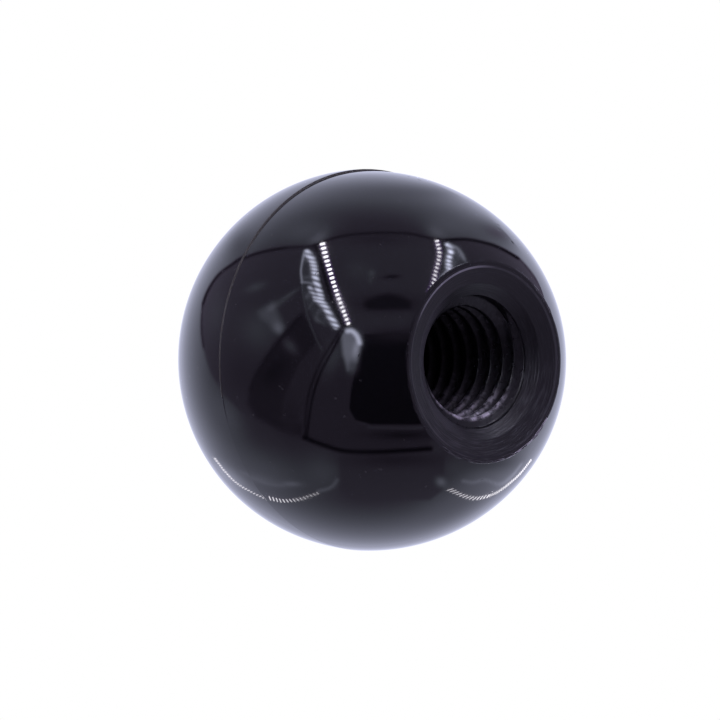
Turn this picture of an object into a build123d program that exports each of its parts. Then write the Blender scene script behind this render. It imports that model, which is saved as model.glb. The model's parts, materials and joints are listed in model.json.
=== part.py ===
"""Ball knob moulded in one piece from a black thermoset, with a blind thread moulded straight into it.

Millimetres, +Z up. The origin is the centre of the seat face, which meets the shoulder of the lever.
The ball stands above the seat, and the threaded hole opens downwards along the Z axis.
"""

from build123d import *
import os
from math import radians, tan

# Ball: a true hemisphere behind the parting line, and a slightly pointed front half ahead of it
ball_radius = 17.5
front_height = 16.45  # from the seat face to the parting line

# Flash: the low ridge left along the parting line once it has been rubbed down
flash_width = 0.36
flash_height = 0.06

# Seat face: a narrow flat rim, then a shallow dish that keeps the mouth's edge off the lever's shoulder
seat_radius = 9.05
rim_width = 0.5
rim_outer_round = 0.55
dish_width = 1.45
dish_slope = 21.0  # degrees from the seat face
dish_edge_round = 0.4

# Hole: a coarse M12 thread, whose crests are the wall of the hole, with a countersunk mouth and a blind end
thread_diameter = 12.0
thread_pitch = 1.75
mouth_angle = 100.0  # included angle of the countersink
hole_depth = 20.0  # from the seat face
hole_end_chamfer = 1.0

# Sizes that follow from those above
rim_inner_radius = seat_radius - rim_width
mouth_radius = rim_inner_radius - dish_width
mouth_start = dish_width * tan(radians(dish_slope))
crest_radius = thread_diameter / 2 - 0.5413 * thread_pitch  # half the minor diameter of a 60 degree thread
wall_start = mouth_start + (mouth_radius - crest_radius) / tan(radians(mouth_angle / 2))

with BuildPart() as ball_knob:
    # Outside, as half a section: the front arc leaves the parting line upright and comes in to the seat
    with BuildSketch(Plane.XZ):
        with BuildLine():
            seat = Line((0, 0), (seat_radius, 0))
            TangentArc((ball_radius, front_height), seat @ 1, tangent=(0, -1))
            back = CenterArc((0, front_height), ball_radius, 0, 90)
            Line(back @ 1, seat @ 0)
        make_face()
    revolve(axis=Axis.Z)

    # Flash, a low ridge with sloping sides all the way round the parting line
    with BuildSketch(Plane.XZ):
        with BuildLine():
            Polyline(
                (ball_radius - flash_height, front_height - flash_width),
                (ball_radius + flash_height, front_height),
                (ball_radius - flash_height, front_height + flash_width),
                close=True,
            )
        make_face()
    revolve(axis=Axis.Z)

    # The rim's outer edge, where the turned seat meets the moulded ball
    fillet(ball_knob.edges().sort_by(Axis.Z)[0], radius=rim_outer_round)

    # Dish, countersunk mouth and hole, cut together as half a section
    with BuildSketch(Plane.XZ):
        with BuildLine():
            Polyline(
                (0, 0),
                (rim_inner_radius, 0),
                (mouth_radius, mouth_start),
                (crest_radius, wall_start),
                (crest_radius, hole_depth),
                (0, hole_depth),
                close=True,
            )
        make_face()
    revolve(axis=Axis.Z, mode=Mode.SUBTRACT)

    # The soft edge between dish and mouth
    circles = ball_knob.edges().filter_by(GeomType.CIRCLE)
    dish_edge = circles.filter_by(lambda edge: abs(edge.radius - mouth_radius) < 0.001)
    fillet(dish_edge, radius=dish_edge_round)

    # The blind end has the chamfer of the core pin's tip
    hole_end = ball_knob.faces().filter_by(GeomType.PLANE).sort_by(Axis.Z)[-1]
    chamfer(hole_end.edges(), length=hole_end_chamfer)

ball_knob.part.label = "ball_knob"

os.makedirs("parts", exist_ok=True)
export_step(ball_knob.part, "parts/ball_knob.step")
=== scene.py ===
"""Ball knob in polished black thermoset, seen from below and to one side, in a white light tent.

Metres, in the frame's axes: +Z runs along the thread, from the seat to the back of the ball. Angles round
the axis are in degrees from +X towards +Y, and the columns of the knob's mesh follow them.
"""

import json
import math

import bmesh
import bpy
import numpy as np
from mathutils import Matrix, Vector

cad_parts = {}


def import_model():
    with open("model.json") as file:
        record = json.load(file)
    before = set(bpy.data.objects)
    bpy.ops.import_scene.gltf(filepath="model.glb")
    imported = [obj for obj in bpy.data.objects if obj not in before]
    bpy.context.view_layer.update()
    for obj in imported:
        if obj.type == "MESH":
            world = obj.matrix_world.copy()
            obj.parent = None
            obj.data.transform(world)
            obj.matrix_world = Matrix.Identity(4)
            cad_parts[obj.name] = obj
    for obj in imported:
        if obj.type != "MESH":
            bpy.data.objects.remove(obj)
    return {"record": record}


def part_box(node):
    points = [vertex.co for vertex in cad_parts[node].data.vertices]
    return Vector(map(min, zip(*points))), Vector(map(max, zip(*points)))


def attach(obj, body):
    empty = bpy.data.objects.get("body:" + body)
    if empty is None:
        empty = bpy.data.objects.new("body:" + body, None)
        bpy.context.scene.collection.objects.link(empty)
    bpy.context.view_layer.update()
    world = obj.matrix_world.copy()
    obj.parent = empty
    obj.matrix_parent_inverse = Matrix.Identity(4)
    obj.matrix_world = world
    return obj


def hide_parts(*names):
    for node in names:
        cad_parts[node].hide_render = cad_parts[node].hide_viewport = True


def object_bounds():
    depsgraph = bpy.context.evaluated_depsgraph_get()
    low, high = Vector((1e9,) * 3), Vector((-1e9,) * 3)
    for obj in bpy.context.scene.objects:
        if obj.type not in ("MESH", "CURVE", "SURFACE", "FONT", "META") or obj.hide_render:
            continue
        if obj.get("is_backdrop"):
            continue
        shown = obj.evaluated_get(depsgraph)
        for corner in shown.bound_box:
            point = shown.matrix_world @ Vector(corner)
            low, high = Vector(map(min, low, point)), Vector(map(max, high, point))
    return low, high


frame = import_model()
cad_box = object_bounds()
MM = 0.001

# Sizes read from the frame, whose box takes in the ridge along the parting line
SOLID_RIDGE = 0.06 * MM
_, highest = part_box("ball_knob")
mounts = {mount["name"]: mount for mount in frame["record"]["mounts"]}
CREST_RADIUS = mounts["lever_thread"]["dims"]["r_mm"] * MM
BALL_RADIUS = highest.x - SOLID_RIDGE
FRONT_HEIGHT = highest.z - BALL_RADIUS

# The mould halves don't quite meet: the back half stands this far towards +X, and the front half is smaller
MISMATCH = 0.125 * MM
FRONT_STEP = 0.045 * MM
FRONT_EDGE = BALL_RADIUS - FRONT_STEP

# Flash: what is left of it once it has been rubbed down, and where it was buffed away too
FLASH_HEIGHT = 0.04 * MM
FLASH_WIDTH = 0.16 * MM
BUFFED_WIDTH = 3.2 * MM
BUFFED_START = 75.0
BUFFED_END = 248.0
BUFFED_FADE = 20.0
BUFFED_SHARE = 0.93

# A row this close beside an edge keeps it crisp
SUPPORT = 0.02 * MM

# Seat face and mouth
SEAT_RADIUS = 9.05 * MM
LIP_ROUND = 0.55 * MM
RIM_EDGE_RADIUS = 8.66 * MM
RIM_INNER_RADIUS = 8.6 * MM
RIM_STEP = 0.03 * MM
DISH_RADIUS = 7.1 * MM
DISH_DEPTH = 0.555 * MM
MOUTH_END = 1.38 * MM

# The front half's arc, whose centre lies beyond the axis
FRONT_ARC = ((FRONT_EDGE - SEAT_RADIUS) ** 2 + FRONT_HEIGHT**2) / (2 * (FRONT_EDGE - SEAT_RADIUS))
FRONT_CENTRE = FRONT_EDGE - FRONT_ARC

# The lip's rounding touches that arc and the seat's plane
LIP_CENTRE = FRONT_CENTRE + math.sqrt((FRONT_ARC - LIP_ROUND) ** 2 - (FRONT_HEIGHT - LIP_ROUND) ** 2)
LIP_TURN = math.atan2(LIP_CENTRE - FRONT_CENTRE, FRONT_HEIGHT - LIP_ROUND)

# Thread and blind hole. The first crest is at its height where it passes its angle, and the thread rises out
# of the wall between the angles of its run-in
PITCH = 1.75 * MM
WALL_RADIUS = 6.06 * MM
CREST_HALF = PITCH / 8
FLANK_SLOPE = math.tan(math.radians(60))
THREAD_END = 18.0 * MM
THREAD_RUNOUT = 0.3 * MM
HOLE_END = 20.0 * MM
HOLE_CHAMFER = 1.0 * MM
FIRST_CREST_HEIGHT = 1.84 * MM
FIRST_CREST_ANGLE = 90.0
RUN_IN_START = 28.0
RUN_IN_END = 80.0
SHOULDER_WALL = 0.2 * MM

# Burrs of the rim: the middle and half width of each torn stretch, in degrees, and how uneven they are
BURRS = ((139.0, 13.0), (186.0, 20.0), (48.0, 9.0))
BURR_HEIGHT = 0.08 * MM
BURR_MEAN = 0.7
BURR_SPREAD = 0.7
BURR_MOST = 1.6
TORN_FROM = 0.2
RIM_WANDER = 0.012 * MM

# Ragged crests of the thread, worst on the side away from +X
CREST_WANDER = 0.02 * MM
CREST_TORN_HALF = 1.3 * CREST_HALF
CREST_TORN_LEAST = 0.15
CREST_TORN_FROM = 0.3

# Seeds of the uneven edges, so that they come out the same each time
BURR_SEED = 7
RIM_SEED = 3
CREST_SEED = 100

# Pits in the polish: name, the pixel of the photograph that shows it, and radius
PITS = (
    ("shoulder_upper", 498.4, 225.2, 0.22 * MM),
    ("shoulder_middle", 498.8, 229.6, 0.18 * MM),
    ("shoulder_lower", 511.9, 242.1, 0.28 * MM),
    ("roof_right", 419.3, 180.2, 0.24 * MM),
    ("roof_left", 408.8, 176.8, 0.18 * MM),
)
PIT_DEPTH = 0.06 * MM

# Mesh density
COLUMNS = 288
COLUMN_ANGLES = np.arange(COLUMNS) * 2 * math.pi / COLUMNS
COLUMN_DEGREES = np.degrees(COLUMN_ANGLES)
BACK_ROWS = 56
FRONT_ROWS = 36
WELD = 1e-7

GLOSS, FLASH, LIP, TURNED, THREAD, TORN = range(6)

# Rows across the flash, from the back: place from 1 to -1 across its width, and share of its height
FLASH_ROWS = ((1.0, 0.0), (0.6, 0.15), (0.3, 0.8), (0.0, 1.0), (-0.3, 0.8), (-0.6, 0.15))

# Rows of the lip, from the ball to the seat: share of its turn, share of the burr, and finish
LIP_ROWS = (
    (0.95, 0.5, TORN),
    (0.8, 1.0, TORN),
    (0.6, 0.5, TORN),
    (0.4, 0, TORN),
    (0.2, 0, LIP),
    (0, 0, TURNED),
)

# Rows of the dish and the countersink in shares of each, and of a turn of the thread in shares of its pitch
DISH_ROWS = (0.03, 0.2, 0.4, 0.6, 0.8, 0.92, 0.97)
CONE_ROWS = (0.02, 0.06, 0.15, 0.3, 0.45, 0.6, 0.75, 0.9, 0.97)
HALF_TURN_ROWS = (0.04, 0.11, 0.15, 0.22, 0.3, 0.38, 0.44)
THREAD_ROWS = (-0.5, *(-row for row in reversed(HALF_TURN_ROWS)), *HALF_TURN_ROWS)
ROWS_PER_TURN = len(THREAD_ROWS)


def smooth_step(value, start, end):
    """0 before start, 1 after end, with a soft change between."""
    share = np.clip((value - start) / (end - start), 0, 1)
    return share * share * (3 - 2 * share)


def uneven(seed, reach):
    """Random heights round one circle, smoothed over this many columns each way."""
    values = np.random.default_rng(seed).normal(size=COLUMNS)
    return sum(np.roll(values, step) for step in range(-reach, reach + 1)) / math.sqrt(2 * reach + 1)


def circle(radius, height, finish):
    """One circle of the mesh, with the finish of the band that follows it."""
    return np.full(COLUMNS, radius), np.full(COLUMNS, height), finish


def back_of_ball():
    """The hemisphere behind the parting line, from beside its pole."""
    for step in range(1, BACK_ROWS):
        turn = math.pi / 2 * step / BACK_ROWS
        yield circle(BALL_RADIUS * math.sin(turn), FRONT_HEIGHT + BALL_RADIUS * math.cos(turn), GLOSS)


def buffed():
    """1 where the parting line was buffed away and 0 where it shows, by column."""
    fades_in = smooth_step(COLUMN_DEGREES, BUFFED_START, BUFFED_START + BUFFED_FADE)
    fades_out = smooth_step(COLUMN_DEGREES, BUFFED_END, BUFFED_END + BUFFED_FADE)
    return fades_in * (1 - fades_out)


def flash_line():
    """The low ridge along the parting line."""
    foot = FLASH_WIDTH / 2
    ridge = FLASH_HEIGHT * (1 - BUFFED_SHARE * buffed())
    yield circle(BALL_RADIUS, FRONT_HEIGHT + foot + SUPPORT, GLOSS)
    for side, rise in FLASH_ROWS:
        radius, height, finish = circle(BALL_RADIUS, FRONT_HEIGHT + foot * side, FLASH)
        yield radius - FRONT_STEP * (1 - side) / 2 + ridge * rise, height, finish
    yield circle(FRONT_EDGE, FRONT_HEIGHT - foot, GLOSS)
    yield circle(FRONT_EDGE, FRONT_HEIGHT - foot - SUPPORT, GLOSS)


def front_of_ball():
    """The front arc, from the parting line to the lip."""
    start = FLASH_WIDTH / 2 / FRONT_ARC
    end = math.pi / 2 - LIP_TURN
    turns = [start + (end - start) * step / FRONT_ROWS for step in range(1, FRONT_ROWS)]
    for turn in turns + [end - SUPPORT / FRONT_ARC, end]:
        radius = FRONT_CENTRE + FRONT_ARC * math.cos(turn)
        yield circle(radius, FRONT_HEIGHT - FRONT_ARC * math.sin(turn), GLOSS)


def tearing():
    """How badly the rim is torn, by column, from 0 to about 1."""
    return sum(np.exp(-(((COLUMN_DEGREES - middle) / half) ** 2)) for middle, half in BURRS)


def rim():
    """The lip where the turned seat meets the moulded ball, torn in places, and the flat ring inside it."""
    unevenness = np.clip(BURR_MEAN + BURR_SPREAD * uneven(BURR_SEED, reach=3), 0, BURR_MOST)
    burr = BURR_HEIGHT * tearing() * unevenness + RIM_WANDER * uneven(RIM_SEED, reach=2)
    for share, rough, finish in LIP_ROWS:
        turn = LIP_TURN * share
        radius = LIP_CENTRE + LIP_ROUND * math.sin(turn) + rough * burr
        yield radius, LIP_ROUND * (1 - math.cos(turn)) - rough * burr / 2, finish
    yield circle(RIM_EDGE_RADIUS + SUPPORT, 0.0, TURNED)
    yield circle(RIM_EDGE_RADIUS, 0.0, TURNED)
    yield circle(RIM_INNER_RADIUS, RIM_STEP, TURNED)


def dish_and_mouth():
    """The dish and the countersunk mouth, as far as the shoulder of the thread."""
    for share in DISH_ROWS:
        radius = RIM_INNER_RADIUS + (DISH_RADIUS - RIM_INNER_RADIUS) * share
        yield circle(radius, RIM_STEP + (DISH_DEPTH - RIM_STEP) * share, TURNED)
    cone = (WALL_RADIUS - DISH_RADIUS) / (MOUTH_END - DISH_DEPTH)
    for share in CONE_ROWS:
        height = DISH_DEPTH + (MOUTH_END - DISH_DEPTH) * share
        yield circle(DISH_RADIUS + cone * (height - DISH_DEPTH), height, TURNED)


def thread_rows():
    """Rows that follow the helix. Above the shoulder and below the last turn they fold into one circle."""
    past_start = (COLUMN_DEGREES - RUN_IN_START) % 360
    turns = math.ceil((THREAD_END - MOUTH_END) / PITCH) + 2
    for row in range(-ROWS_PER_TURN, ROWS_PER_TURN * turns):
        turn, place = divmod(row, ROWS_PER_TURN)
        offset = THREAD_ROWS[place] * PITCH
        along = turn + past_start / 360
        height = FIRST_CREST_HEIGHT + PITCH * (along + (RUN_IN_START - FIRST_CREST_ANGLE) / 360) + offset
        flank = CREST_RADIUS + max(0, abs(offset) - CREST_HALF) * FLANK_SLOPE
        if abs(offset) < CREST_TORN_HALF:
            ragged = CREST_TORN_LEAST + smooth_step(-np.cos(COLUMN_ANGLES), CREST_TORN_FROM, 1)
            flank = flank + CREST_WANDER * ragged * np.abs(uneven(row + CREST_SEED, reach=4))
        risen = smooth_step(along * 360, 0, RUN_IN_END - RUN_IN_START)
        radius = WALL_RADIUS - risen * (WALL_RADIUS - np.minimum(flank, WALL_RADIUS))
        lead = WALL_RADIUS - np.maximum(0, height - MOUTH_END - SHOULDER_WALL) * FLANK_SLOPE
        radius = np.maximum(radius, lead)
        radius = np.where(height <= MOUTH_END, WALL_RADIUS, radius)
        radius = np.where(height >= THREAD_END, CREST_RADIUS, radius)
        yield radius, np.clip(height, MOUTH_END, THREAD_END), THREAD


def blind_end():
    """The bottom of the hole, below the thread."""
    yield circle(CREST_RADIUS, THREAD_END + THREAD_RUNOUT, THREAD)
    yield circle(CREST_RADIUS, HOLE_END - HOLE_CHAMFER, THREAD)
    yield circle(CREST_RADIUS - HOLE_CHAMFER, HOLE_END, THREAD)


def spread(rows, outside_rows):
    """The points of the rows, by row and column, with the mould halves a little apart."""
    radius = np.array([row[0] for row in rows])
    height = np.array([row[1] for row in rows])
    stepped = np.clip((FRONT_HEIGHT - height) / FLASH_WIDTH + 0.5, 0, 1)
    reach = FLASH_WIDTH / 2 + (BUFFED_WIDTH - FLASH_WIDTH / 2) * buffed()
    share = (FRONT_HEIGHT - height) / reach
    front = smooth_step(share, -1, 1)
    front += (np.clip(1 + share, 0, 1) ** 2 - front) * buffed()
    front[outside_rows:] = 1
    radius = radius + FRONT_STEP * (stepped - front) * buffed()
    across = radius * np.cos(COLUMN_ANGLES) + (1 - front) * MISMATCH
    return np.stack((across, radius * np.sin(COLUMN_ANGLES), height), axis=2)


def face_finish(finish, polished, torn):
    """A band's finish on one face: gloss where the flash is buffed away, and lip where nothing is torn."""
    if finish == FLASH and polished:
        return GLOSS
    if finish == TORN and not torn:
        return LIP
    return finish


def knob_mesh():
    """The whole surface as one closed mesh."""
    outside = list(back_of_ball()) + list(flash_line()) + list(front_of_ball())
    plain = outside + list(rim()) + list(dish_and_mouth())
    helix = list(thread_rows())
    rows = plain + helix + list(blind_end())
    mesh = bmesh.new()
    top = mesh.verts.new((MISMATCH, 0, FRONT_HEIGHT + BALL_RADIUS))
    bottom = mesh.verts.new((0, 0, HOLE_END))
    grid = [[mesh.verts.new(point) for point in row] for row in spread(rows, len(outside))]
    cut = int(np.argmax(COLUMN_DEGREES >= RUN_IN_START))
    first_helix = len(plain)
    last_helix = first_helix + len(helix)
    polished = buffed() > 0.5
    torn = tearing() > TORN_FROM
    faces = []
    for column in range(COLUMNS):
        after = (column + 1) % COLUMNS
        faces.append(((top, grid[0][column], grid[0][after]), GLOSS))
        faces.append(((bottom, grid[-1][after], grid[-1][column]), THREAD))
        for row in range(len(rows) - 1):
            shift = ROWS_PER_TURN if after == cut and first_helix <= row < last_helix - 1 else 0
            if shift and row + shift + 1 >= last_helix:
                continue
            before = (grid[row][column], grid[row + 1][column])
            beyond = (grid[row + shift + 1][after], grid[row + shift][after])
            faces.append((before + beyond, face_finish(rows[row][2], polished[column], torn[column])))
    for corners, finish in faces:
        face = mesh.faces.new(corners)
        face.material_index = finish
        face.smooth = True
    bmesh.ops.remove_doubles(mesh, verts=mesh.verts, dist=WELD)
    bmesh.ops.recalc_face_normals(mesh, faces=mesh.faces)
    data = bpy.data.meshes.new("ball_knob_surface")
    mesh.to_mesh(data)
    mesh.free()
    return data


def node(tree, kind, inputs=None, **settings):
    """A new node with its settings, and its inputs by name or number: a value, or another node's output."""
    made = tree.nodes.new(kind)
    for name, value in settings.items():
        setattr(made, name, value)
    for name, value in (inputs or {}).items():
        if isinstance(value, bpy.types.NodeSocket):
            tree.links.new(value, made.inputs[name])
        else:
            made.inputs[name].default_value = value
    return made


def new_material(name):
    """A material with its node tree and its Principled shader."""
    material = bpy.data.materials.new(name)
    material.use_nodes = True
    return material, material.node_tree, material.node_tree.nodes["Principled BSDF"]


def object_place(tree):
    """The place on the piece, in the frame's axes."""
    return node(tree, "ShaderNodeTexCoord").outputs["Object"]


def noise(tree, place, scale, detail, **settings):
    """Smooth noise by place, or by a single number where its dimensions are 1D."""
    made = node(tree, "ShaderNodeTexNoise", {"Scale": scale, "Detail": detail}, **settings)
    socket = "W" if settings.get("noise_dimensions") == "1D" else "Vector"
    tree.links.new(place, made.inputs[socket])
    return made.outputs["Fac"]


def ramp(tree, value, given, wanted, kind="SMOOTHSTEP"):
    """The value's given range, spread over the wanted one."""
    start, end = given
    first, last = wanted
    inputs = {"Value": value, "From Min": start, "From Max": end, "To Min": first, "To Max": last}
    return node(tree, "ShaderNodeMapRange", inputs, interpolation_type=kind).outputs["Result"]


def combined(tree, operation, first, second=0.0):
    """Arithmetic on one or two numbers."""
    return node(tree, "ShaderNodeMath", {0: first, 1: second}, operation=operation).outputs["Value"]


def measured(tree, operation, first, second=(0, 0, 0)):
    """A number worked out from one or two places or directions."""
    return node(tree, "ShaderNodeVectorMath", {0: first, 1: second}, operation=operation).outputs["Value"]


def placed(tree, operation, first, second=(0, 0, 0)):
    """A place or direction worked out from one or two others."""
    return node(tree, "ShaderNodeVectorMath", {0: first, 1: second}, operation=operation).outputs["Vector"]


def between(tree, share, first, second):
    """A colour between two colours."""
    made = node(tree, "ShaderNodeMix", {"Factor": share}, data_type="RGBA")
    made.inputs[6].default_value = (*first, 1)
    made.inputs[7].default_value = (*second, 1)
    return made.outputs[2]


def flattened(tree, place):
    """The place without its height."""
    return placed(tree, "MULTIPLY", place, (1, 1, 0))


def from_axis(tree, place):
    """Distance from the thread's axis."""
    return measured(tree, "LENGTH", flattened(tree, place))


def towards(tree, place, degrees):
    """How far out from the axis a place is, measured towards an angle round it."""
    way = (math.cos(math.radians(degrees)), math.sin(math.radians(degrees)), 0)
    return measured(tree, "DOT_PRODUCT", place, way)


def along_rings(tree, place, fine):
    """Coordinates that change slowly round the axis, and faster away from it the finer the rings are."""
    way = placed(tree, "NORMALIZE", flattened(tree, place))
    rise = ramp(tree, from_axis(tree, place), (0.0, 10 * MM), (0.0, fine), "LINEAR")
    return placed(tree, "ADD", way, node(tree, "ShaderNodeCombineXYZ", {"Z": rise}).outputs["Vector"])


def bump(tree, height, strength, distance, under=None):
    """Relief on the surface, on top of the relief under it where there is some."""
    made = node(tree, "ShaderNodeBump", {"Height": height, "Strength": strength, "Distance": distance})
    if under:
        tree.links.new(under, made.inputs["Normal"])
    return made.outputs["Normal"]


def surface(tree, shader, color, roughness, normal):
    """What every finish of the knob varies from place to place."""
    tree.links.new(color, shader.inputs["Base Color"])
    tree.links.new(roughness, shader.inputs["Roughness"])
    tree.links.new(normal, shader.inputs["Normal"])


# Angles that the finishes follow: up in the photograph, the dish's edge with its painted highlight, the near
# side of the mouth with its painted light, and the worst of the torn lip, where its painted glints are
# strongest
UP = 0.0
DISH_EDGE_LIT = 330.0
MOUTH_NEAR = 260.0
LIP_TORN_GLINTS = 140.0


def pits(tree, place):
    """Height of the polished surface: 0 in the middle of each pit and 1 away from them."""
    levels = []
    for _, x, y, radius in PITS:
        middle, _ = mirrored(np.array(x), np.array(y))
        away = measured(tree, "DISTANCE", place, tuple(middle))
        levels.append(ramp(tree, away, (0.0, radius), (0.0, 1.0)))
    height = levels[0]
    for level in levels[1:]:
        height = combined(tree, "MINIMUM", height, level)
    return height


def polished_thermoset():
    """Buffed phenolic: a deep black gloss with faint waves, light haze, a few specks and pits."""
    material, tree, shader = new_material("polished_thermoset")
    place = object_place(tree)
    haze = noise(tree, place, scale=160.0, detail=3.0)
    speck = ramp(tree, noise(tree, place, scale=1900.0, detail=0.0), (0.81, 0.88), (0.0, 1.0))
    height = pits(tree, place)
    waves = bump(tree, noise(tree, place, scale=420.0, detail=1.0), 0.05, 0.02 * MM)
    pitted = bump(tree, height, 0.3, PIT_DEPTH, waves)
    surface(
        tree,
        shader,
        color=between(tree, speck, (0.0035, 0.0034, 0.0045), (0.03, 0.03, 0.03)),
        roughness=ramp(tree, haze, (0.35, 0.7), (0.03, 0.07)),
        normal=bump(tree, speck, 0.15, 0.02 * MM, pitted),
    )
    tree.links.new(ramp(tree, height, (0.6, 1.0), (0.02, 0.5)), shader.inputs["Specular IOR Level"])
    shader.inputs["IOR"].default_value = 1.52
    return material


def flash_line_finish():
    """The parting line where it was rubbed down: rough, and paler than the gloss beside it."""
    material, tree, shader = new_material("flash_line")
    rubbed = noise(tree, object_place(tree), scale=700.0, detail=4.0)
    surface(
        tree,
        shader,
        color=between(tree, rubbed, (0.012, 0.011, 0.011), (0.07, 0.06, 0.05)),
        roughness=ramp(tree, rubbed, (0.3, 0.7), (0.3, 0.6)),
        normal=bump(tree, rubbed, 0.5, 0.03 * MM),
    )
    return material


def rounded_lip():
    """The rounded edge of the seat: half polished, with a few nicks, and paler towards the bottom."""
    material, tree, shader = new_material("rounded_lip")
    place = object_place(tree)
    nicks = noise(tree, place, scale=2500.0, detail=5.0)
    # Paler towards the bottom, away from +X
    paler_towards_bottom = ramp(tree, towards(tree, place, UP), (-3.0 * MM, -8.0 * MM), (0.0, 0.6))
    pale = combined(tree, "MAXIMUM", ramp(tree, nicks, (0.6, 0.75), (0.0, 1.0)), paler_towards_bottom)
    surface(
        tree,
        shader,
        color=between(tree, pale, (0.004, 0.0038, 0.005), (0.03, 0.029, 0.034)),
        roughness=ramp(tree, nicks, (0.4, 0.7), (0.1, 0.2)),
        normal=bump(tree, nicks, 0.3, 0.03 * MM),
    )
    return material


def torn_edge():
    """Where the cutter tore the lip: broken moulding, a little pale, with painted glints that make it palest
    where the tearing is heaviest.
    """
    material, tree, shader = new_material("torn_edge")
    place = object_place(tree)
    broken = noise(tree, along_rings(tree, place, 11.0), scale=9.0, detail=3.0)
    # Painted glints: towards the heaviest tearing the broken moulding is painted near white, standing in for
    # highlights; elsewhere it is only a little pale
    torn_and_painted_glints = ramp(tree, towards(tree, place, LIP_TORN_GLINTS), (7.7 * MM, 8.75 * MM), (0.1, 1.0))
    pale = combined(tree, "MULTIPLY", ramp(tree, broken, (0.43, 0.56), (0.0, 1.0)), torn_and_painted_glints)
    surface(
        tree,
        shader,
        color=between(tree, pale, (0.01, 0.01, 0.012), (0.6, 0.58, 0.62)),
        roughness=ramp(tree, broken, (0.3, 0.7), (0.12, 0.3)),
        normal=bump(tree, broken, 0.6, 0.04 * MM),
    )
    return material


def turned_face():
    """The machined seat: satin, with fine rings and scuffs, paler towards the bottom. The dish's edge has a
    painted highlight above and painted shade (less gloss) below, and the mouth's near side has painted light.
    """
    material, tree, shader = new_material("turned_face")
    place = object_place(tree)
    radius = from_axis(tree, place)
    upward = towards(tree, place, UP)
    rings = noise(tree, radius, scale=6000.0, detail=4.0, noise_dimensions="1D")
    scuffs = noise(tree, along_rings(tree, place, 20.0), scale=5.0, detail=8.0)

    off_edge = combined(tree, "ABSOLUTE", combined(tree, "SUBTRACT", radius, RIM_INNER_RADIUS))
    edge = ramp(tree, off_edge, (0.05 * MM, 0.14 * MM), (1.0, 0.0))
    # Painted highlight: the dish's edge is painted pale towards DISH_EDGE_LIT, where light falls on it
    lit = ramp(tree, towards(tree, place, DISH_EDGE_LIT), (6.6 * MM, 8.6 * MM), (0.12, 1.0))
    shaded = ramp(tree, upward, (-7.0 * MM, -8.3 * MM), (0.0, 1.0))
    # Scuffs, paler towards the bottom (away from +X)
    paler_towards_bottom = ramp(tree, upward, (-5.0 * MM, 3.0 * MM), (0.134, 0.02))
    cone = ramp(tree, radius, (DISH_RADIUS + 0.2 * MM, DISH_RADIUS - 0.1 * MM), (0.0, 1.0))
    # Painted light: the countersink is painted paler on the mouth's near side, towards MOUTH_NEAR
    nearer = ramp(tree, towards(tree, place, MOUTH_NEAR), (1.5 * MM, 5.5 * MM), (0.0, 0.2))

    pale = combined(tree, "MULTIPLY", ramp(tree, scuffs, (0.4, 0.75), (0.0, 1.0)), paler_towards_bottom)
    pale = combined(tree, "MAXIMUM", pale, combined(tree, "MULTIPLY", edge, lit))
    pale = combined(tree, "MAXIMUM", pale, combined(tree, "MULTIPLY", cone, nearer))
    # Painted shade: along the bottom of the dish's edge the gloss is turned down, so that it shows dark
    painted_shade_line = combined(tree, "MULTIPLY", edge, shaded)
    surface(
        tree,
        shader,
        color=between(tree, pale, (0.0065, 0.0062, 0.008), (0.35, 0.342, 0.377)),
        roughness=ramp(tree, rings, (0.3, 0.7), (0.32, 0.44)),
        normal=bump(tree, scuffs, 0.4, 0.05 * MM, bump(tree, rings, 0.6, 0.05 * MM)),
    )
    tree.links.new(ramp(tree, painted_shade_line, (0.0, 1.0), (0.5, 0.05)), shader.inputs["Specular IOR Level"])
    return material


def moulded_thread():
    """The thread as moulded: dull in the grooves, torn and whitish along its crests, with painted light
    making them whiter on the side away from +X.
    """
    material, tree, shader = new_material("moulded_thread")
    place = object_place(tree)
    torn = noise(tree, place, scale=2200.0, detail=6.0)
    above_crest = combined(tree, "SUBTRACT", from_axis(tree, place), CREST_RADIUS)
    crest = ramp(tree, above_crest, (0.1 * MM, 0.45 * MM), (1.0, 0.0))
    # Painted light: the crests are painted whiter on the side away from +X, which the light reaches inside
    # the hole
    painted_light_side = ramp(tree, towards(tree, place, UP), (-5.5 * MM, -1.5 * MM), (1.0, 0.0))
    patchy = ramp(tree, noise(tree, place, scale=600.0, detail=1.0), (0.35, 0.6), (0.4, 1.2))
    ragged = ramp(tree, torn, (0.4, 0.6), (0.2, 1.0))
    white = crest
    for share in (painted_light_side, patchy, ragged):
        white = combined(tree, "MULTIPLY", white, share)
    surface(
        tree,
        shader,
        color=between(tree, white, (0.005, 0.0048, 0.0065), (0.7, 0.66, 0.74)),
        roughness=ramp(tree, torn, (0.3, 0.7), (0.26, 0.45)),
        normal=bump(tree, torn, 0.8, 0.08 * MM),
    )
    return material


def knob():
    """The knob's surface, in its finishes, in place of the plain solid."""
    data = knob_mesh()
    piece = bpy.data.objects.new("ball_knob_surface", data)
    bpy.context.scene.collection.objects.link(piece)
    finishes = (polished_thermoset, flash_line_finish, rounded_lip, turned_face, moulded_thread, torn_edge)
    for finish in finishes:
        data.materials.append(finish())
    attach(piece, "root")
    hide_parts("ball_knob")


# The photograph's view: tilt from the thread's axis, and where the ball's centre lies in the picture
VIEW_TILT = math.radians(39.5)
VIEW_ROLL = math.radians(0.5)
VIEW_DISTANCE = 40 * BALL_RADIUS
VIEW_RIGHT = 0.045 * BALL_RADIUS
VIEW_UP = -0.0042 * BALL_RADIUS
PICTURE_WIDTH = 720
BALL_PIXELS = 190.4
SENSOR = 36.0


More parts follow.
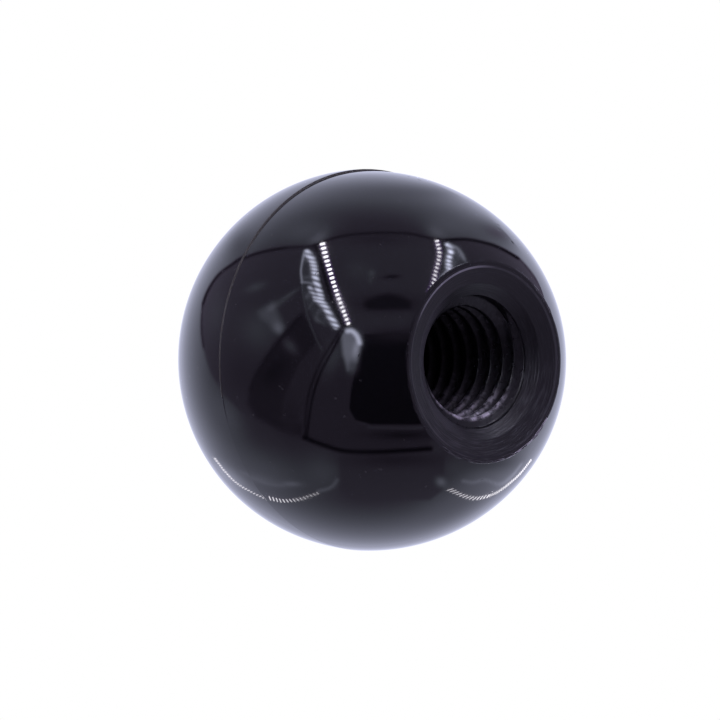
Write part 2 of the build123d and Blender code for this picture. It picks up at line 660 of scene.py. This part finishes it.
def view_axes():
    """The camera's right, up and back directions."""
    back = Vector((0, -math.sin(VIEW_TILT), -math.cos(VIEW_TILT)))
    right = Vector((0, math.cos(VIEW_TILT), -math.sin(VIEW_TILT)))
    up = back.cross(right)
    turn = Matrix.Rotation(VIEW_ROLL, 3, back)
    return turn @ right, turn @ up, back


def camera():
    """The camera, turned and placed so that the ball's centre lies where the photograph has it."""
    right, up, back = view_axes()
    data = bpy.data.cameras.new("camera")
    data.sensor_width = SENSOR
    data.lens = BALL_PIXELS * VIEW_DISTANCE / BALL_RADIUS / PICTURE_WIDTH * SENSOR
    data.clip_start = 0.01
    data.clip_end = 20
    eye = bpy.data.objects.new("camera", data)
    bpy.context.scene.collection.objects.link(eye)
    centre = Vector((0, 0, FRONT_HEIGHT))
    place = centre + back * VIEW_DISTANCE - right * VIEW_RIGHT - up * VIEW_UP
    turn = Matrix((right, up, back)).transposed().to_4x4()
    eye.matrix_world = Matrix.Translation(place) @ turn
    bpy.context.scene.camera = eye


# The tent is traced from what the polished ball mirrors. Its places and widths are in pixels of the
# photograph, where the ball shows them, and its brightnesses and tints were set after readings of those tones
TENT_RADIUS = 1.5
LAYER_GAP = 0.004
BALL_MIDDLE = (368.0, 359.1)
CLOTH_RINGS = 150
CLOTH_SPOKES = 480
CLOTH_REACH = 0.985
CLOTH_TINT = (0.91, 0.94, 1.22)
DIM_TINT = (0.99, 0.8, 1.26)
DIM_TONE = 0.3
BRIGHT_TONE = 1.11
BRIGHT_START = 0.7
BRIGHT_END = 1.02
TINT_START = 0.12
TINT_END = 0.6

# The seam between the tent's roof and its front, and the front's lower edge
SEAM_LEFT = [(203, 305), (209, 290), (219, 275.7), (233, 265), (242, 259), (262, 252), (285.7, 247.7)]
SEAM_RIGHT = [(447, 240), (460, 239.2), (472, 240), (485, 242.8), (495, 245.8), (506, 251), (518, 258.2)]
SEAM = [
    (203.5, 349), (201.5, 330), *SEAM_LEFT, (311.7, 246), (327, 240.5), (343.6, 235.8), (372.5, 232.9),
    (407, 233.5), (430, 238), *SEAM_RIGHT, (527, 267.4), (535, 278), (541, 288), (549, 304.6),
]
FRONT_FOOT = [
    (556, 400), (520, 440), (430, 448.7), (372, 452), (345, 450), (302, 440), (266, 426), (244, 414),
    (226, 397), (218, 387), (211, 375), (207.5, 365), (205, 357),
]

# Each tone has a name, a brightness, the softness of its edge and its outline. Where that softness is 0, it
# has an ellipse instead: its middle, half sizes and turn in degrees
TONES = (
    ("glow_left", 1.9, 0, (318, 237, 9, 5, -25)),
    ("glow_left_wide", 0.75, 0, (306, 232, 26, 12, -10)),
    ("glow_right", 1.4, 0, (438, 232, 9, 6, 20)),
    ("glow_right_wide", 0.8, 0, (448, 226, 22, 12, 15)),
    ("roof", 0.62, 0, (410, 192, 70, 9, 0)),
    ("left_shoulder", 0.54, 0, (240, 247, 12, 18, 30)),
    ("right_shoulder", 0.38, 0, (497, 233, 26, 10, 25)),
    ("wall_foot", 0.76, 0, (222, 410, 14, 28, -30)),
    ("floor_left", 0.74, 0, (262, 474, 52, 22, 14)),
    ("floor_left_near", 0.66, 0, (322, 472, 20, 18, 0)),
    ("floor_right", 1.05, 0, (492, 480, 40, 20, -22)),
    ("floor_right_near", 0.58, 0, (455, 465, 12, 9, 0)),
    ("lip_foot", 0.5, 0, (484, 462, 34, 9, 0)),
    ("floor_limb_left", 1.35, 0, (232, 478, 22, 6, 38)),
    ("sheen_haze", 0.95, 0, (262, 480, 20, 5, 16)),
    ("sheen_patch", 1.15, 0, (291, 484, 10, 2.6, 2)),
    ("floor_limb_right", 0.74, 0, (455, 508, 44, 13, -25)),
    ("floor_middle", 0.34, 2.0, [(339, 440), (339.6, 490), (352, 500), (430, 500), (443, 490), (445, 440)]),
    ("floor_middle_near", 0.19, 0, (395, 460, 50, 8, 0)),
    ("lamp_end_right", 1.3, 0, (441, 482, 5, 4, 30)),
    ("front", 0.32, 2.0, SEAM + FRONT_FOOT),
    ("wall_light", 0.42, 0, (217, 316, 9, 22, 10)),
    ("wall_low", 0.24, 0, (240, 375, 24, 26, 0)),
    ("streak_faint", 0.6, 0, (256, 287, 10, 4, -20)),
    ("streak_wide", 0.55, 0, (258, 330, 18, 16, 60)),
    ("streak_top", 0.8, 0, (272, 306, 12, 3, -25)),
    ("streak", 0.92, 4.5,
     [(259, 312), (266, 308), (273, 303), (277, 311), (284, 327), (281, 334), (273, 331), (268, 323),
      (260, 318)]),
    ("streak_low", 1.7, 0, (278.5, 328, 6, 4, 60)),
    ("streak_tip", 1.4, 0, (271.5, 308, 5, 2.5, -35)),
    ("streak_line", 0.7, 0, (288, 296, 12, 2, -35)),
    ("corner", 0.14, 4.5,
     [(303, 313), (292, 322), (282, 334), (267, 354), (255, 372), (249, 389), (247, 404), (256, 418),
      (280, 431), (302, 437), (308, 402), (316, 380), (326, 354), (318, 338), (310, 322)]),
    ("corner_light", 0.55, 0, (290, 346, 9, 5, 50)),
    ("corner_right", 0.24, 2.0,
     [(318, 341), (326, 353), (316, 374), (308, 398), (305, 425), (281, 420), (283, 402), (289, 385),
      (299, 363)]),
    ("corner_dark", 0.07, 0, (274, 372, 16, 9, -55)),
    ("corner_low", 0.18, 0, (290, 416, 10, 20, -10)),
    ("ceiling", 0.37, 2.5,
     [(324, 243), (343.6, 238), (372.5, 235), (407, 235.5), (428, 240), (436, 262), (424, 296), (400, 334),
      (352, 334)]),
    ("ceiling_top", 0.24, 0, (378, 238, 40, 8, 0)),
    ("ceiling_haze", 0.48, 0, (358, 270, 12, 9, 0)),
    ("ceiling_spot", 0.8, 0, (371.7, 273.5, 3, 3.5, 0)),
    ("ceiling_spot_low", 0.6, 0, (370.3, 280.5, 2.5, 3, 0)),
    ("vent", 0.02, 0, (391.5, 276.8, 8, 1.9, -5)),
    ("ceiling_dim", 0.16, 0, (388, 303, 36, 9, 0)),
    ("ceiling_dark", 0.08, 3.5,
     [(366, 301), (376, 296), (388, 293.5), (401, 296), (411, 302), (411, 309), (368, 310), (364, 306)]),
    ("flap", 0.24, 1.5,
     [(343, 331), (358, 334), (358, 360), (352, 385), (349, 409), (356, 421), (372, 425), (430, 426),
      (430, 448), (372, 451), (323, 444), (306, 436), (310, 400), (317, 377), (328, 354)]),
    ("flap_low", 0.08, 0, (402, 435, 34, 5, 0)),
    ("flap_light", 0.55, 0, (334, 356, 9, 20, 25)),
    ("doorway", 0.025, 1.2,
     [(364, 334), (360, 345), (356, 366), (351, 388), (349, 409), (355, 420), (372, 424.7), (440, 425),
      (440, 325), (405, 334)]),
    ("thread_dark", 0.13, 0, (448, 366, 18, 34, 0)),
    ("cone_light", 0.55, 0, (540, 360, 14, 30, 0)),
    ("lip_light", 0.5, 0, (478, 444, 30, 8, 0)),
    ("glare_wide", 2.4, 3.0,
     [(341, 333), (350, 329), (358, 333), (361, 343), (357, 362), (348, 370), (343, 354)]),
    ("glare_low", 4.5, 0, (356, 349, 3, 9, 12)),
    ("glare_foot", 1.0, 0, (352, 366, 5, 7, 10)),
    ("doorway_top", 0.14, 0, (396, 335, 30, 7, 0)),
)

# Crumpled foil beside each lamp: outlines, then bright bands, broken into slanting teeth by the folds
FOILS = (
    ("foil_left",
     [(302, 256), (309, 250), (315, 256), (319, 278), (326, 300), (337, 320), (343, 329), (331, 327),
      (316, 322), (307, 306), (302, 285)]),
    ("foil_right",
     [(446, 243), (455, 246), (464, 254), (464, 261), (453, 268), (443, 277), (437, 285), (441, 262)]),
)
FOIL_EDGE = 2.0
FOIL_DARK = 0.5
FOIL_CREASE = 0.595
TOOTH_PIXELS = 4.4
TOOTH_DARK = 0.12
TOOTH_LEAN = 0.25
TOOTH_WAVER = 1.6
TOOTH_WAVER_PIXELS = 5.3

# Creases of the foils, in pixels: how far they sway and over what length, for x and for y, then how far one
# ridge of each crossing set spans along x and along y
SWAY_X = (5.0, 8.0)
SWAY_Y = (4.0, 5.0)
SWAY_SHIFT = 1.0
UPRIGHT_RIDGES = (4.5, 11.0)
LEVEL_RIDGES = (13.0, 6.5)
RIDGE_SHARPNESS = 3

# Each band or line has a name, a path, half its width, the softness of its edge and a brightness
FOIL_BANDS = (
    ("left_upper", [(307, 253), (311, 258), (314, 267), (315.5, 278), (318, 288), (321, 298)],
     2.8, 2.2, 15.0),
    ("left_lower", [(316, 298), (324, 305), (330, 316), (336, 326)], 2.6, 2.2, 17.0),
    ("left_spot", [(310, 288), (316, 297)], 1.8, 2.4, 10.0),
    ("right", [(448, 245), (451, 250), (449.5, 256), (448.5, 262), (448.5, 268)], 2.2, 2.0, 20.0),
)
CLOTH_LINES = (
    ("seam_line", SEAM, 0.9, 1.6, 0.05),
    ("seam_line_left", SEAM_LEFT, 1.2, 1.4, 0.05),
    ("seam_line_right", SEAM_RIGHT, 1.5, 1.2, 0.02),
    ("corner_line", [(301, 316), (284, 335), (269, 355), (258, 373), (251, 389)], 1.5, 2.2, 0.09),
    ("foil_left_edge", [(304, 253), (301, 270), (302, 283)], 0.6, 1.2, 4.5),
    ("foil_left_low_edge", [(302, 283), (303, 296), (306, 309), (309, 321), (316, 338), (322, 350)],
     0.3, 1.2, 0.9),
    ("foil_fold", [(302, 282), (310, 283), (317, 286)], 0.6, 1.4, 3.5),
    ("foil_right_arm", [(449, 245), (457, 248), (461, 253), (464, 259)], 0.9, 2.0, 3.2),
    ("foil_right_tail", [(448, 269), (445, 272.5), (439, 278)], 1.0, 1.4, 8.0),
    ("glare", [(347.5, 331), (352, 331), (357, 336), (359.5, 343)], 1.4, 3.0, 12.0),
    ("lamp_gap", [(315, 245), (321, 262), (327, 285), (334, 305), (343, 326)], 1.6, 1.2, 0.06),
    ("lamp_gap_right", [(443, 240), (444, 250), (443, 262), (440, 272), (434, 286)], 0.8, 1.2, 0.08),
    ("door_edge_left", [(340.5, 330), (326, 353), (315.5, 373.5), (307.5, 400), (304.5, 437.7)],
     0.8, 1.1, 0.04),
    ("door_edge", [(343, 331), (331, 353), (320.5, 373.5), (312, 400), (306.5, 438)], 1.1, 1.2, 0.02),
    ("door_foot",
     [(304.5, 437.7), (323.3, 445), (343.6, 450.7), (372.5, 452), (401.4, 450.7), (430.3, 448.7)],
     2.4, 2.0, 0.02),
    ("sheen_left", [(240, 473), (255, 479), (267, 483.5), (283, 486)], 0.2, 2.6, 1.15),
    ("sheen_right", [(463, 481), (473, 482.5), (485, 480), (500, 484), (512, 476), (522, 464)],
     0.4, 2.8, 1.8),
    ("lamp_end_left", [(318.7, 491), (326.7, 489.2), (333, 485.8), (337, 480)], 1.2, 2.0, 1.15),
    ("sill", [(368, 427.5), (400, 428.3), (430, 428.3)], 0.8, 1.4, 0.42),
)

# Lamps are eight-cornered bars, in shares of their half sizes. Each strip of them has a name, a path, the
# number of lamps, half their width and height, their lean in degrees and their strength
LAMP_SHAPE = ((-1, -0.5), (-0.7, -1), (0.7, -1), (1, -0.5), (1, 0.5), (0.7, 1), (-0.7, 1), (-1, 0.5))
LAMP_TAPER = 0.35
LAMP_TINT = (1.0, 0.97, 1.05)
HALO_TINT = (0.55, 0.35, 1.0)
HALO_STRENGTH = 1.3
HALO_WIDTH = 1.2
HALO_FROM = 10
FIRST_LAYER = 3
STRIP_LAYERS = 2
STRIPS = (
    ("lamp_left", [(322.4, 244), (329.6, 270), (338.6, 298), (348.3, 323.5)], 20, 2.7, 1.2, 0, 30),
    ("lamp_right", [(437, 241), (439.3, 251), (438.8, 259), (436.6, 268), (432.5, 282.4), (427.5, 293)],
     15, 2.0, 0.9, 0, 20),
    ("lamp_low_far_left", [(215, 460), (225, 473), (236.7, 484.6), (250, 493), (262.3, 499.4)],
     23, 1.3, 0.5, 40, 5),
    ("lamp_low_left", [(270, 498.3), (283.3, 500.8), (300, 499.2), (317.5, 493.3)], 15, 2.4, 0.5, -35, 7),
    ("lamp_low_right", [(450, 489.6), (463.3, 495.8), (475.8, 498.4), (488, 496.3)], 13, 3.6, 0.42, 50, 7),
    ("lamp_low_far_right", [(490, 495.6), (498.9, 491.3), (509.6, 483.3), (520.2, 473.6), (530.9, 460.2)],
     26, 1.6, 0.6, 45, 4),
)

# The search for the ball along a line of sight starts this many radii before its centre. Closer to the axis
# than ON_AXIS, in metres, no way round it is worked out. Curves are followed in steps of a few pixels
SEARCH_START = 1.2
SEARCH_STEPS = 80
ON_AXIS = 1e-6
CURVE_STEP = 3.0
LAMP_CURVE_STEP = 0.5


def mirrored(x, y):
    """Where lines of sight through these pixels meet the polished ball, and the ways they are mirrored."""
    eye = bpy.context.scene.camera
    pixels = BALL_PIXELS * VIEW_DISTANCE / BALL_RADIUS
    middle = PICTURE_WIDTH / 2
    rays = np.stack(((x - middle) / pixels, (middle - y) / pixels, -np.ones_like(x)), axis=-1)
    rays = rays @ np.array(eye.matrix_world.to_3x3()).T
    rays /= np.linalg.norm(rays, axis=-1, keepdims=True)
    points = np.array(eye.matrix_world.translation) + rays * (VIEW_DISTANCE - BALL_RADIUS * SEARCH_START)
    for _ in range(SEARCH_STEPS):
        front = points[..., 2:] < FRONT_HEIGHT
        across = np.linalg.norm(points[..., :2], axis=-1, keepdims=True)
        outward = points * (1 - np.where(front, FRONT_CENTRE, 0) / np.maximum(across, ON_AXIS))
        outward[..., 2] = points[..., 2] - FRONT_HEIGHT
        length = np.linalg.norm(outward, axis=-1, keepdims=True)
        points = points + rays * (length - np.where(front, FRONT_ARC, BALL_RADIUS))
    normal = outward / length
    return points, rays - 2 * (rays * normal).sum(axis=-1, keepdims=True) * normal


def in_tent(x, y, layer=0):
    """The place in the tent that the ball mirrors at these pixels. Higher layers are nearer to the ball."""
    points, directions = mirrored(np.array(x, dtype=float), np.array(y, dtype=float))
    return points + directions * (TENT_RADIUS - layer * LAYER_GAP)


def curved(path, step=CURVE_STEP):
    """A smooth curve through the points of a path, as points about a step apart."""
    path = np.array(path, dtype=float)
    padded = np.vstack((2 * path[0] - path[1], path, 2 * path[-1] - path[-2]))
    points = []
    for before, start, end, after in zip(padded, padded[1:], padded[2:], padded[3:]):
        count = max(1, math.ceil(np.linalg.norm(end - start) / step))
        share = (np.arange(count) / count)[:, None]
        square = 2 * before - 5 * start + 4 * end - after
        cube = 3 * start - before - 3 * end + after
        points.append(start + ((end - before) * share + square * share**2 + cube * share**3) / 2)
    return np.vstack(points + [path[-1:]])


def distance_from(x, y, path):
    """Distance in pixels from a path."""
    distance = np.full(x.shape, np.inf)
    for (x0, y0), (x1, y1) in zip(path, path[1:]):
        run, rise = x1 - x0, y1 - y0
        along = np.clip(((x - x0) * run + (y - y0) * rise) / (run * run + rise * rise), 0, 1)
        distance = np.minimum(distance, np.hypot(x - x0 - along * run, y - y0 - along * rise))
    return distance


def near(x, y, path, half, edge):
    """1 close to the smooth curve through a path and 0 away from it, with a soft edge."""
    return 1 - smooth_step(distance_from(x, y, curved(path)), half - edge, half + edge)


def inside(x, y, outline, edge):
    """1 well inside an outline and 0 outside it, with a soft edge."""
    closed = list(outline) + [outline[0]]
    within = np.zeros(x.shape, dtype=bool)
    for (x0, y0), (x1, y1) in zip(closed, closed[1:]):
        within ^= ((y0 > y) != (y1 > y)) & (x < x0 + (y - y0) * (x1 - x0) / (y1 - y0 or 1))
    distance = distance_from(x, y, closed)
    return smooth_step(np.where(within, distance, -distance), -edge, edge)


def spot(x, y, ellipse):
    """1 in the middle of an ellipse, falling away like a bell to almost 0 at twice its size."""
    middle_x, middle_y, along, across, turn = ellipse
    turn = math.radians(turn)
    dx, dy = x - middle_x, y - middle_y
    a = (dx * math.cos(turn) + dy * math.sin(turn)) / along
    b = (dy * math.cos(turn) - dx * math.sin(turn)) / across
    return np.exp(-(a * a + b * b))


def crumpled(x, y):
    """Creases of a foil, from 0 to 1: two sets of wavy ridges that cross."""
    a = x + SWAY_X[0] * np.sin(y / SWAY_X[1])
    b = y + SWAY_Y[0] * np.sin(x / SWAY_Y[1] + SWAY_SHIFT)
    upright = 1 - abs(np.sin(a / UPRIGHT_RIDGES[0] + b / UPRIGHT_RIDGES[1]))
    level = 1 - abs(np.sin(b / LEVEL_RIDGES[1] - a / LEVEL_RIDGES[0]))
    return np.clip(upright**RIDGE_SHARPNESS + level**RIDGE_SHARPNESS, 0, 1)


def teeth(x, y):
    """Slanting folds of a foil, from dark to 1."""
    across = y - TOOTH_LEAN * x + TOOTH_WAVER * np.sin(y / TOOTH_WAVER_PIXELS)
    return TOOTH_DARK + (1 - TOOTH_DARK) * np.sin(math.pi * across / TOOTH_PIXELS) ** 2


def cloth_tone(x, y):
    """How bright the tent is where the ball mirrors it at these pixels."""
    reach = np.hypot(x - BALL_MIDDLE[0], y - BALL_MIDDLE[1]) / BALL_PIXELS
    tone = DIM_TONE + (BRIGHT_TONE - DIM_TONE) * smooth_step(reach, BRIGHT_START, BRIGHT_END)
    for _, level, edge, shape in TONES:
        cover = inside(x, y, shape, edge) if edge else spot(x, y, shape)
        tone = tone + (level - tone) * cover
    foil = FOIL_DARK + FOIL_CREASE * crumpled(x, y)
    for _, outline in FOILS:
        tone = tone + (foil - tone) * inside(x, y, outline, FOIL_EDGE)
    for _, path, half, edge, level in FOIL_BANDS:
        tone = tone + (level * teeth(x, y) - tone) * near(x, y, path, half, edge)
    for _, path, half, edge, level in CLOTH_LINES:
        tone = tone + (level - tone) * near(x, y, path, half, edge)
    return tone


def glowing(name, color, strength):
    """A plain light-giving material. The strength may be the name of a number kept on each point."""
    material, tree, shader = new_material(name)
    tree.nodes.remove(shader)
    light = node(tree, "ShaderNodeEmission", {"Color": (*color, 1)})
    if isinstance(strength, str):
        value = node(tree, "ShaderNodeAttribute", attribute_name=strength).outputs["Fac"]
        share = ramp(tree, value, (TINT_START, TINT_END), (0.0, 1.0))
        tree.links.new(value, light.inputs["Strength"])
        tree.links.new(between(tree, share, DIM_TINT, color), light.inputs["Color"])
    else:
        light.inputs["Strength"].default_value = strength
    tree.links.new(light.outputs[0], tree.nodes["Material Output"].inputs["Surface"])
    return material


def hang(name, points, faces, material):
    """One part of the tent, which lights the knob and shows only in its gloss."""
    data = bpy.data.meshes.new(name)
    data.from_pydata([tuple(point) for point in points], [], faces)
    data.materials.append(material)
    part = bpy.data.objects.new(name, data)
    bpy.context.scene.collection.objects.link(part)
    part.visible_camera = False
    part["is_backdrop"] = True
    return data


def cloth():
    """The tent's cloth, a dome all round the knob but for a small gap behind it."""
    rings = (np.arange(CLOTH_RINGS) + 0.5) / CLOTH_RINGS * CLOTH_REACH * BALL_PIXELS
    turns = np.arange(CLOTH_SPOKES) * 2 * math.pi / CLOTH_SPOKES
    x = (BALL_MIDDLE[0] + np.outer(rings, np.cos(turns))).ravel()
    y = (BALL_MIDDLE[1] + np.outer(rings, np.sin(turns))).ravel()
    faces = [list(range(CLOTH_SPOKES))]
    for ring in range(CLOTH_RINGS - 1):
        start = ring * CLOTH_SPOKES
        for spoke in range(CLOTH_SPOKES):
            after = (spoke + 1) % CLOTH_SPOKES
            outer = start + CLOTH_SPOKES
            faces.append((start + spoke, start + after, outer + after, outer + spoke))
    material = glowing("tent_cloth", CLOTH_TINT, "tone")
    material.cycles.emission_sampling = "NONE"
    data = hang("tent_cloth", in_tent(x, y), faces, material)
    data.attributes.new("tone", "FLOAT", "POINT").data.foreach_set("value", cloth_tone(x, y))


def ribbon(name, path, half, layer, material):
    """A thin band of pixels along a curve."""
    points = curved(path)
    run = np.gradient(points, axis=0)
    across = np.stack((run[:, 1], -run[:, 0]), axis=1) / np.linalg.norm(run, axis=1)[:, None] * half
    sides = np.vstack((points + across, points - across))
    count = len(points)
    faces = [(i, i + 1, count + i + 1, count + i) for i in range(count - 1)]
    hang(name, in_tent(sides[:, 0], sides[:, 1], layer), faces, material)


def lamp_strip(name, path, count, half_width, half_height, lean, layer, material):
    """Small lamps evenly spaced along a curve, each a bar across it, leaning by some degrees."""
    points = curved(path, LAMP_CURVE_STEP)
    lengths = np.concatenate(([0], np.cumsum(np.linalg.norm(np.diff(points, axis=0), axis=1))))
    turn = math.radians(lean)
    leaning = np.array(((math.cos(turn), -math.sin(turn)), (math.sin(turn), math.cos(turn))))

    def place(along):
        return np.array([np.interp(along, lengths, points[:, axis]) for axis in (0, 1)])

    corners = []
    for lamp in range(count):
        along = lengths[-1] * lamp / (count - 1)
        run = place(along + 1) - place(along - 1)
        run = leaning @ run / np.linalg.norm(run)
        side = np.array((run[1], -run[0])) * half_width * (1 - LAMP_TAPER * lamp / count)
        for a, b in LAMP_SHAPE:
            corners.append(place(along) + side * a + run * half_height * b)
    corners = np.array(corners)
    sides = len(LAMP_SHAPE)
    faces = [list(range(sides * lamp, sides * (lamp + 1))) for lamp in range(count)]
    hang(name, in_tent(corners[:, 0], corners[:, 1], layer), faces, material)


def tent():
    """The cloth and, in layers before it, the strips of lamps with a halo behind the brightest."""
    cloth()
    halo = glowing("lamp_halo", HALO_TINT, HALO_STRENGTH)
    for index, (name, path, count, half_width, half_height, lean, strength) in enumerate(STRIPS):
        layer = FIRST_LAYER + STRIP_LAYERS * index
        if strength > HALO_FROM:
            ribbon(name + "_halo", path, half_width + HALO_WIDTH, layer, halo)
        lamp = glowing(name, LAMP_TINT, strength)
        lamp_strip(name, path, count, half_width, half_height, lean, layer + 1, lamp)


FLOOR_RADIUS = 1.2
FLOOR_FADE_START = 0.25
FLOOR_SIDES = 96
FLOOR_GAP = 0.02 * MM


def floor():
    """A pale floor under the seat, drawn only for a viewer above it: the photograph looks up from below."""
    mesh = bmesh.new()
    bmesh.ops.create_circle(mesh, cap_ends=True, segments=FLOOR_SIDES, radius=FLOOR_RADIUS)
    data = bpy.data.meshes.new("floor")
    mesh.to_mesh(data)
    mesh.free()
    material, tree, shader = new_material("pale_floor")
    place = object_place(tree)
    far = ramp(tree, from_axis(tree, place), (FLOOR_FADE_START, FLOOR_RADIUS), (0.0, 1.0))
    below = node(tree, "ShaderNodeNewGeometry").outputs["Backfacing"]
    hidden = combined(tree, "MAXIMUM", far, below)
    grain = noise(tree, place, scale=900.0, detail=3.0)
    tree.links.new(ramp(tree, grain, (0.3, 0.7), (0.55, 0.7)), shader.inputs["Roughness"])
    shader.inputs["Base Color"].default_value = (0.95, 0.92, 0.76, 1)
    clear = node(tree, "ShaderNodeBsdfTransparent")
    blend = node(tree, "ShaderNodeMixShader", {0: hidden, 1: shader.outputs[0], 2: clear.outputs[0]})
    tree.links.new(blend.outputs[0], tree.nodes["Material Output"].inputs["Surface"])
    data.materials.append(material)
    sheet = bpy.data.objects.new("floor", data)
    sheet.location.z = -FLOOR_GAP
    sheet.visible_diffuse = False
    sheet.visible_glossy = False
    sheet.visible_transmission = False
    sheet.visible_shadow = False
    bpy.context.scene.collection.objects.link(sheet)
    sheet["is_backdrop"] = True


def world():
    """White all round to the eye, and about as bright as the cloth where the cloth has its gap."""
    scene = bpy.context.scene
    scene.view_settings.view_transform = "Standard"
    scene.world = bpy.data.worlds.new("tent")
    scene.world.use_nodes = True
    tree = scene.world.node_tree
    tree.nodes.clear()
    path = node(tree, "ShaderNodeLightPath")
    color = node(tree, "ShaderNodeMix", {"Factor": path.outputs["Is Camera Ray"]}, data_type="RGBA")
    color.inputs[6].default_value = (*CLOTH_TINT, 1)
    color.inputs[7].default_value = (1, 1, 1, 1)
    background = node(tree, "ShaderNodeBackground", {"Color": color.outputs[2]})
    output = node(tree, "ShaderNodeOutputWorld")
    tree.links.new(background.outputs[0], output.inputs["Surface"])


camera()
knob()
world()
tent()
floor()

for box in (cad_box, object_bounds()):
    json.dumps([list(corner) for corner in box]) + "\n"
